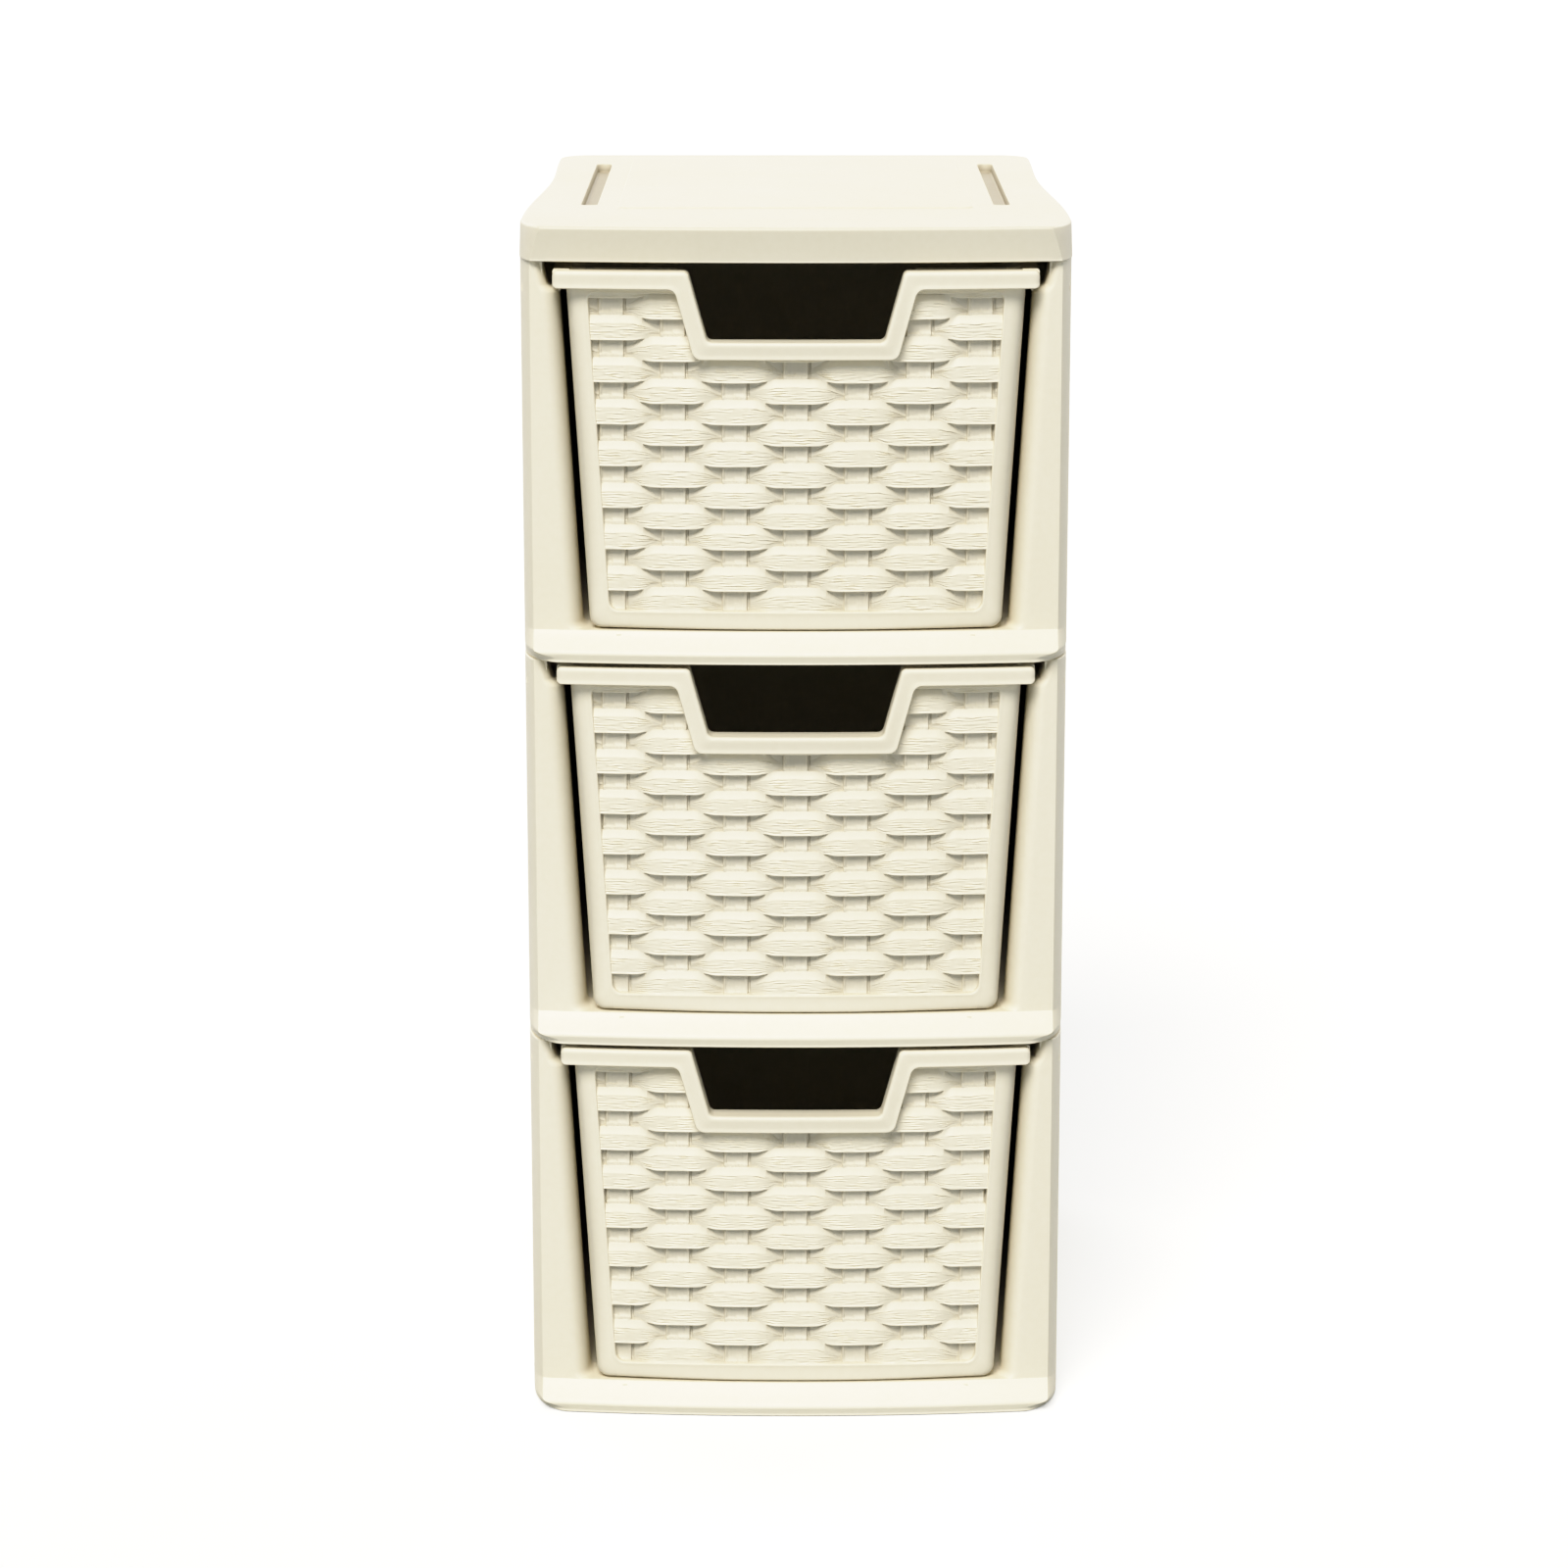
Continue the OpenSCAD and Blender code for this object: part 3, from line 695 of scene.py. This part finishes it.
def drawer_piece(name):
    a, b = notch_paths()
    ba, bb = border_paths()
    zb = FACE_BOT + 1
    # bin
    rings = []
    for k in range(5):
        g = math.pi / 2 * k / 4
        rings.append(bin_ring(zb + 3.0 * (1 - math.cos(g)), 3.0 * (1 - math.sin(g)), 0.0))
    for z in (40, 80, 115, 132.6):
        rings.append(bin_ring(z, 0.0, 0.0))
    rings += [bin_ring(133.2, 0.15, 0.0), bin_ring(133.4, 0.5, 0.15), bin_ring(133.4, 1.1, 0.75),
              bin_ring(133.2, 1.45, 0.9), bin_ring(132.6, BIN_WALL, 1.0)]
    for z in (115, 80, 40, zb + BIN_WALL + 3.5):
        rings.append(bin_ring(z, BIN_WALL, 1.0))
    for k in range(1, 5):
        g = math.pi / 2 * k / 4
        rings.append(bin_ring(zb + BIN_WALL + 3.5 * (1 - math.sin(g)), BIN_WALL + 3.5 * (1 - math.cos(g)), 1.0 + 3.5 * (1 - math.cos(g))))
    body = loft(name, rings)
    # the notch, cut half way into the band's width
    mid = (a + b) / 2
    inner = mid[(np.abs(mid[:, 0]) < 40)]
    poly = [(inner[0][0], 150.0)] + [tuple(p) for p in inner] + [(inner[-1][0], 150.0)]
    body = cut(body, prism(name + "_n", poly, -15, 22))

    # woven panel, trimmed to the middle of the border and of the bar
    slab = weave_slab(name + "_w")
    midb = ba * 0.25 + bb * 0.75
    lower = [tuple(p) for p in midb if p[1] < BAR_BOT - 6]
    lower = [(-face_x(BAR_BOT) + BORDER - 2, BAR_BOT)] + lower + [(face_x(BAR_BOT) - BORDER + 2, BAR_BOT)]
    upper = [tuple(p) for p in mid[::-1] if abs(p[0]) < lower[-1][0] - 0.5]
    zt = upper[0][1]
    poly = lower + [(lower[-1][0], zt)] + upper + [(lower[0][0], zt)]
    slab = keep(slab, prism(name + "_k", poly, -15, 25))
    xs = np.linspace(-76, 76, 41)
    slab = keep(slab, loft(name + "_q", [[(x, -15, -5), (x, bow(x) + 4.1, -5), (x, bow(x) + 4.1, 150), (x, -15, 150)] for x in xs]))
    body = union(body, slab)

    # smooth border, rolled back at its outer edge, with a fine ridge round the window
    inner = [(6.1, -0.06), (6.4, -0.17), (6.7, -0.20), (6.95, -0.14), (7.14, 0.06), (7.24, 0.4), (7.34, 2.2), (7.5, 4.1)]
    low = [(0.4, 4.1), (0.08, 3.6), (0.0, 2.9), (0.0, 1.2), (0.05, 0.75), (0.2, 0.42), (0.45, 0.18), (0.8, 0.05), (1.4, 0.0),
           (2.6, 0.03), (3.8, 0.06), (5.2, 0.04)] + inner
    upr = [(0.4, 6.3), (0.08, 5.9), (0.0, 5.2), (0.12, 4.2), (0.40, 3.25), (0.80, 2.5), (1.40, 1.75), (2.2, 1.12), (3.1, 0.66),
           (4.1, 0.32), (5.1, 0.10), (5.7, 0.0)] + inner
    body = union(body, ribbon(name + "_o", ba, bb, low, BORDER, upright=upr))

    # handle bar with the band round the notch
    prof = [(0.0, 4.1), (0.0, -3.3), (0.06, -3.80), (0.24, -4.24), (0.55, -4.56), (0.95, -4.74), (1.45, -4.80), (2.1, -4.77), (3.1, -4.69),
            (4.2, -4.61), (4.8, -4.64), (5.3, -4.73), (5.68, -4.82), (5.94, -4.80), (6.1, -4.62), (6.2, -4.25), (6.2, 4.1)]
    body = union(body, ribbon(name + "_h", a, b, prof, BAR_H, end_r=1.7, lean=0.7))

    # rim that runs in the frame: flange and skirts on the sides and the back
    def rim_path(x, tr, rr, z):
        rr = max(0.8, rr)
        h = [(x, t) for t in np.linspace(3.2, tr - rr, 12)]
        h += [(x - rr + rr * math.cos(g), tr - rr + rr * math.sin(g)) for g in np.linspace(0, math.pi / 2, 10)[1:]]
        h += [((x - rr) * (1 - k / 4), tr) for k in range(1, 5)]
        return np.array([(p, t, z) for p, t in h] + [(-p, t, z) for p, t in h[:-1][::-1]])
    lv = []
    for z, o, ix, it in ((BAR_BOT, 0.3, 79.6, T_REAR - 1.6), (BAR_BOT + 0.25, 0.05, 79.4, T_REAR - 1.8), (BAR_BOT + 0.5, 0.0, 79.4, T_REAR - 1.8),
                         (130.4, 0.0, 79.3, T_REAR - 1.9), (131.0, 0.0, 79.0, T_REAR - 2.2), (131.3, 0.0, 78.2, T_REAR - 3.0),
                         (131.45, 0.0, 75.6, T_REAR - 4.6), (132.6, 0.0, 75.6, T_REAR - 4.6), (133.0, 0.08, 75.6, T_REAR - 4.6),
                         (133.25, 0.28, 75.6, T_REAR - 4.6), (133.38, 0.7, 75.6, T_REAR - 4.6)):
        lv.append((rim_path(RIM_X - o, T_REAR - o, 12 - o, z), rim_path(ix, it, 12 - (RIM_X - ix), z)))
    body = union(body, strip(name + "_m", lv))
    for s in (1, -1):
        x0, x1 = sorted((s * (face_x(LEDGE_Z - 7.5) - 1.8), s * 78.5))
        body = union(body, box(name + "_x", x0, x1, 226, 229, LEDGE_Z - 7.5, BAR_BOT + 4.3, 0.3))
    return body


# ----------------------------------------------------------------- finishing

def settle(ob, name, dz, rise=0.0):
    """Names the piece, puts it at its height and shades it. rise: how much taller its
    walls are at the top."""
    me = ob.data
    ob.name = name
    me.name = name
    n = len(me.vertices)
    co = np.empty(n * 3, np.float32)
    me.vertices.foreach_get("co", co)
    co = co.reshape(-1, 3)
    co[:, 2] += dz + rise * (co[:, 2] > TIER - 3.5)
    co *= 0.001
    me.vertices.foreach_set("co", co.ravel())
    me.update()
    for p in me.polygons:
        p.use_smooth = True
    me.set_sharp_from_angle(angle=math.radians(34))
    m = ob.modifiers.new("normals", "WEIGHTED_NORMAL")
    m.keep_sharp = True
    m.weight = 60
    return ob


def copy_of(ob, name):
    c = bpy.data.objects.new(name, ob.data.copy())
    bpy.context.scene.collection.objects.link(c)
    return c


# ----------------------------------------------------------------- materials

# painted_shade: an optional mask and colour that darken the base colour, as painted shade
def plastic(name, colour, rough, seed, fibre=0.0, painted_shade=None):
    mat = bpy.data.materials.new(name)
    mat.use_nodes = True
    nt = mat.node_tree
    nt.nodes.clear()
    N = nt.nodes.new
    L = nt.links.new
    out = N("ShaderNodeOutputMaterial")
    bs = N("ShaderNodeBsdfPrincipled")
    L(bs.outputs[0], out.inputs[0])
    co = N("ShaderNodeTexCoord")
    # slow drift of the colour from resin flow, and a fine speckle
    n1 = N("ShaderNodeTexNoise"); n1.inputs["Scale"].default_value = 9.0; n1.inputs["Detail"].default_value = 3.0
    off = N("ShaderNodeVectorMath"); off.operation = "ADD"; off.inputs[1].default_value = (seed, seed * 0.37, seed * 0.71)
    L(co.outputs["Object"], off.inputs[0])
    L(off.outputs[0], n1.inputs["Vector"])
    n2 = N("ShaderNodeTexNoise"); n2.inputs["Scale"].default_value = 420.0; n2.inputs["Detail"].default_value = 4.0
    L(off.outputs[0], n2.inputs["Vector"])
    r1 = N("ShaderNodeValToRGB")
    r1.color_ramp.elements[0].position = 0.30
    r1.color_ramp.elements[1].position = 0.72
    r1.color_ramp.elements[0].color = (colour[0] * 0.975, colour[1] * 0.968, colour[2] * 0.945, 1)
    r1.color_ramp.elements[1].color = (colour[0] * 1.0, colour[1] * 1.0, colour[2] * 1.0, 1)
    L(n1.outputs["Fac"], r1.inputs[0])
    mx = N("ShaderNodeMixRGB"); mx.blend_type = "MULTIPLY"; mx.inputs[0].default_value = 1.0
    r2 = N("ShaderNodeValToRGB")
    r2.color_ramp.elements[0].position = 0.35
    r2.color_ramp.elements[1].position = 0.65
    r2.color_ramp.elements[0].color = (0.985, 0.983, 0.975, 1)
    r2.color_ramp.elements[1].color = (1, 1, 1, 1)
    L(n2.outputs["Fac"], r2.inputs[0])
    L(r1.outputs[0], mx.inputs[1])
    L(r2.outputs[0], mx.inputs[2])
    last_colour = mx
    if painted_shade is not None:
        # painted shade: the base colour is made darker where the mask says, in recesses and down rolled edges, where
        # shade falls
        tm = N("ShaderNodeMixRGB"); tm.blend_type = "MULTIPLY"
        tm.inputs[2].default_value = painted_shade[1]
        L(painted_shade[0](nt, co), tm.inputs[0])
        L(mx.outputs[0], tm.inputs[1])
        last_colour = tm
    L(last_colour.outputs[0], bs.inputs["Base Color"])
    # roughness: satin, with faint handling marks
    n3 = N("ShaderNodeTexNoise"); n3.inputs["Scale"].default_value = 38.0; n3.inputs["Detail"].default_value = 6.0
    n3.inputs["Roughness"].default_value = 0.62
    L(off.outputs[0], n3.inputs["Vector"])
    mr = N("ShaderNodeMapRange"); mr.inputs["To Min"].default_value = rough - 0.05; mr.inputs["To Max"].default_value = rough + 0.09
    L(n3.outputs["Fac"], mr.inputs["Value"])
    L(mr.outputs[0], bs.inputs["Roughness"])
    # fine spark-eroded grain of the mould
    n4 = N("ShaderNodeTexNoise"); n4.inputs["Scale"].default_value = 1500.0; n4.inputs["Detail"].default_value = 3.0
    L(off.outputs[0], n4.inputs["Vector"])
    b1 = N("ShaderNodeBump"); b1.inputs["Strength"].default_value = 0.10; b1.inputs["Distance"].default_value = 0.00012
    L(n4.outputs["Fac"], b1.inputs["Height"])
    # very shallow waviness of a thin moulded wall
    n5 = N("ShaderNodeTexNoise"); n5.inputs["Scale"].default_value = 26.0; n5.inputs["Detail"].default_value = 1.0
    L(off.outputs[0], n5.inputs["Vector"])
    b2 = N("ShaderNodeBump"); b2.inputs["Strength"].default_value = 0.12; b2.inputs["Distance"].default_value = 0.0006
    L(n5.outputs["Fac"], b2.inputs["Height"])
    L(b2.outputs[0], b1.inputs["Normal"])
    last = b1
    if fibre > 0:
        mp = N("ShaderNodeMapping"); mp.inputs["Scale"].default_value = (90.0, 90.0, 2300.0)
        L(off.outputs[0], mp.inputs["Vector"])
        n6 = N("ShaderNodeTexNoise"); n6.inputs["Scale"].default_value = 1.0; n6.inputs["Detail"].default_value = 4.0
        L(mp.outputs[0], n6.inputs["Vector"])
        b3 = N("ShaderNodeBump"); b3.inputs["Strength"].default_value = fibre; b3.inputs["Distance"].default_value = 0.00018
        L(n6.outputs["Fac"], b3.inputs["Height"])
        L(b1.outputs[0], b3.inputs["Normal"])
        last = b3
    L(last.outputs[0], bs.inputs["Normal"])
    bs.inputs["IOR"].default_value = 1.49
    bs.inputs["Specular IOR Level"].default_value = 0.42
    return mat


def math_node(nt, op, a, b=None, c=None, clamp=False):
    n = nt.nodes.new("ShaderNodeMath")
    n.operation = op
    n.use_clamp = clamp
    for i, v in enumerate((a, b, c)):
        if v is None:
            continue
        if isinstance(v, (int, float)):
            n.inputs[i].default_value = v
        else:
            nt.links.new(v, n.inputs[i])
    return n.outputs[0]


def slot_shade_mask(nt, co):
    """How deep a point of the cap lies in one of its slots, 0 to 1: where the slots' painted shade goes."""
    sx = nt.nodes.new("ShaderNodeSeparateXYZ")
    nt.links.new(co.outputs["Object"], sx.inputs[0])
    z0 = (3 * TIER + CAP_RISE + CAP_H) / 1000
    d = math_node(nt, "MULTIPLY_ADD", sx.outputs["Z"], -1 / 0.0022, (z0 - 0.0003) / 0.0022, clamp=True)
    ax = math_node(nt, "ABSOLUTE", sx.outputs["X"])
    near = math_node(nt, "SUBTRACT", ax, 0.0715)
    near = math_node(nt, "LESS_THAN", math_node(nt, "ABSOLUTE", near), 0.0031)
    yy = math_node(nt, "SUBTRACT", sx.outputs["Y"], (Y0 + 138.5) / 1000)
    span = math_node(nt, "LESS_THAN", math_node(nt, "ABSOLUTE", yy), 0.0722)
    return math_node(nt, "MULTIPLY", d, math_node(nt, "MULTIPLY", near, span))


def weave_shade_mask(z_off):
    """How deep a point lies on a drawer's front, 0 to 1: below the strands' crests in the window, and down the rolled
    edge outside it. It masks the painted shade in those places."""
    def f(nt, co):
        sx = nt.nodes.new("ShaderNodeSeparateXYZ")
        nt.links.new(co.outputs["Object"], sx.inputs[0])
        sq = math_node(nt, "MULTIPLY", sx.outputs["X"], sx.outputs["X"])
        face = math_node(nt, "MULTIPLY_ADD", sq, 1000 / (2 * BOW), Y0 / 1000)
        raw = math_node(nt, "SUBTRACT", sx.outputs["Y"], face)
        d = math_node(nt, "MULTIPLY_ADD", raw, 1 / 0.0028, -0.0001 / 0.0028, clamp=True)
        ax = math_node(nt, "ABSOLUTE", sx.outputs["X"])
        inside = math_node(nt, "LESS_THAN", math_node(nt, "MULTIPLY_ADD", sx.outputs["Z"], -SLOPE, ax),
                           (FACE_LOW - BORDER + 0.3 - FACE_BOT * SLOPE - z_off * SLOPE) / 1000)
        front = math_node(nt, "LESS_THAN", sx.outputs["Y"], (Y0 + 8) / 1000)
        roll = math_node(nt, "MULTIPLY_ADD", raw, 1 / 0.0014, -0.00005 / 0.0014, clamp=True)
        fade = math_node(nt, "MULTIPLY_ADD", raw, -1 / 0.0025, 0.0062 / 0.0025, clamp=True)
        low = math_node(nt, "LESS_THAN", sx.outputs["Z"], (z_off + BAR_BOT) / 1000)
        edge = math_node(nt, "MULTIPLY", math_node(nt, "MULTIPLY", roll, fade), math_node(nt, "MULTIPLY", low, 0.85))
        edge = math_node(nt, "MULTIPLY", edge, math_node(nt, "SUBTRACT", 1.0, inside))
        d = math_node(nt, "MULTIPLY_ADD", math_node(nt, "POWER", d, 1.1), inside, edge)
        return math_node(nt, "MULTIPLY", d, front)
    return f


CREAM = (0.875, 0.812, 0.664)
# painted shade: the cap is the same cream plastic, made 10% darker here so the whole cap reads darker, as shade would
# make it
# painted shade: the cap's slots are darkened by this grey, more towards the slot floor
m_cap = plastic("cap_cream", tuple(0.90 * c for c in CREAM), 0.46, 3.1, painted_shade=(slot_shade_mask, (0.58, 0.56, 0.53, 1)))
m_frame = plastic("frame_cream", CREAM, 0.44, 11.7)
# painted shade: the drawers' cream is multiplied by this grey-blue in the weave's recesses and down the border's
# rolled edge
m_drawers = [plastic("drawer_cream_" + str(k), CREAM, 0.48, 23.3 + 2.9 * k, painted_shade=(weave_shade_mask(k * TIER), (0.73, 0.735, 0.75, 1))) for k in range(3)]


# -------------------------------------------------------------------- pieces

def put(ob, node, body, mat):
    ob.data.materials.clear()
    ob.data.materials.append(mat)
    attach(ob, body)
    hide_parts(node)


proto_frame = frame_piece("proto_frame")
proto_drawer = drawer_piece("proto_drawer")
names = ("lower", "middle", "upper")
for k, nm in enumerate(names):
    last = k == 2
    f = proto_frame if last else copy_of(proto_frame, "frame")
    settle(f, "tower_frame_" + nm, k * TIER, CAP_RISE if last else 0.0)
    put(f, "frame_" + nm, "tower", m_frame)
    d = proto_drawer if last else copy_of(proto_drawer, "drawer")
    settle(d, "woven_drawer_" + nm, k * TIER)
    put(d, "drawer_" + nm, "drawer_" + nm, m_drawers[k])
cap = cap_piece("proto_cap")
settle(cap, "tower_cap", 3 * TIER + CAP_RISE)
put(cap, "top_cap", "tower", m_cap)


# --------------------------------------------------------------------- stage

def floor():
    me = bpy.data.meshes.new("studio_floor")
    n, r = 96, 12.0
    me.from_pydata([(r * math.cos(2 * math.pi * k / n), r * math.sin(2 * math.pi * k / n), -0.0002) for k in range(n)], [], [tuple(range(n))])
    ob = bpy.data.objects.new("studio_floor", me)
    bpy.context.scene.collection.objects.link(ob)
    mat = bpy.data.materials.new("studio_floor")
    mat.use_nodes = True
    nt = mat.node_tree
    b = nt.nodes["Principled BSDF"]
    # the floor bounces less light than it shows, as a small sheet of card would
    lp = nt.nodes.new("ShaderNodeLightPath")
    mx = nt.nodes.new("ShaderNodeMixRGB")
    mx.inputs[1].default_value = (0.99, 0.985, 0.975, 1)
    mx.inputs[2].default_value = (0.41, 0.44, 0.47, 1)
    nt.links.new(lp.outputs["Is Diffuse Ray"], mx.inputs[0])
    nt.links.new(mx.outputs[0], b.inputs["Base Color"])
    # and looks white to the eye
    nt.links.new(lp.outputs["Is Camera Ray"], b.inputs["Emission Strength"])
    b.inputs["Emission Color"].default_value = (0.30, 0.30, 0.30, 1)
    b.inputs["Roughness"].default_value = 0.8
    b.inputs["Specular IOR Level"].default_value = 0.1
    me.materials.append(mat)


floor()


def sun(name, azimuth, elevation, angle, strength, colour):
    """A soft light from far off. azimuth: 0 is straight from the front, to the left below it."""
    li = bpy.data.lights.new(name, "SUN")
    li.angle = math.radians(angle)
    li.energy = strength
    li.color = colour
    ob = bpy.data.objects.new(name, li)
    a, e = math.radians(azimuth), math.radians(elevation)
    d = Vector((math.sin(a) * math.cos(e), -math.cos(a) * math.cos(e), math.sin(e)))
    ob.location = d * 3
    ob.rotation_euler = d.to_track_quat("Z", "Y").to_euler()
    bpy.context.scene.collection.objects.link(ob)
    return ob


sun("key_light", -12, 47, 28, 2.90, (1.0, 0.972, 0.915))
sun("top_light", 0, 80, 50, 0.26, (1.0, 0.97, 0.91))
sun("front_light", 4, 14, 60, 0.30, (0.72, 0.86, 1.0))
sun("back_right_light", 138, 28, 40, 1.05, (1.0, 0.97, 0.93))
sun("back_left_light", -142, 28, 40, 0.92, (1.0, 0.97, 0.93))

world = bpy.data.worlds.new("studio")
bpy.context.scene.world = world
world.use_nodes = True
wt = world.node_tree
bg = wt.nodes["Background"]
# white backdrop for the eye and for gloss, little fill for the tower
wl = wt.nodes.new("ShaderNodeLightPath")
wx = wt.nodes.new("ShaderNodeMath")
wx.operation = "MAXIMUM"
wt.links.new(wl.outputs["Is Camera Ray"], wx.inputs[0])
wt.links.new(wl.outputs["Is Glossy Ray"], wx.inputs[1])
wm = wt.nodes.new("ShaderNodeMapRange")
wm.inputs["To Min"].default_value = 0.08
wm.inputs["To Max"].default_value = 1.3
wt.links.new(wx.outputs[0], wm.inputs["Value"])
wt.links.new(wm.outputs[0], bg.inputs[1])
wc = wt.nodes.new("ShaderNodeMixRGB")
wc.inputs[1].default_value = (0.78, 0.90, 1.0, 1)
wc.inputs[2].default_value = (1.0, 0.995, 0.985, 1)
wt.links.new(wx.outputs[0], wc.inputs[0])
wt.links.new(wc.outputs[0], bg.inputs[0])

cam = bpy.data.cameras.new("camera")
cam.sensor_width = 36.0
cam.lens = 36.0 * 4615 / 1600
cam.shift_y = -0.035
cam.clip_start = 0.05
cam.clip_end = 40
co = bpy.data.objects.new("camera", cam)
co.location = (-0.004, (Y0 - 1500) / 1000, 0.4161 + 0.171)
co.rotation_euler = (math.radians(90 - 12.8), 0, 0)
bpy.context.scene.collection.objects.link(co)
bpy.context.scene.camera = co

vs = bpy.context.scene.view_settings
vs.view_transform = "Standard"
vs.look = "None"
vs.exposure = 0.0
# soft shoulder, as a camera gives: highlights stay below white
vs.use_curve_mapping = True
cm = vs.curve_mapping
cm.white_level = (1.3, 1.3, 1.3)
cm.use_clip = False
cv = cm.curves[3]
cv.points[0].location = (0.0, 0.0)
cv.points[1].location = (1.0, 1.0)
for x, y in ((0.04, 0.022), (0.15, 0.130), (0.30, 0.298), (0.50, 0.525), (0.70, 0.735), (0.85, 0.850), (0.95, 0.897), (1.10, 0.945)):
    cv.points.new(x / 1.3, y)
cm.update()
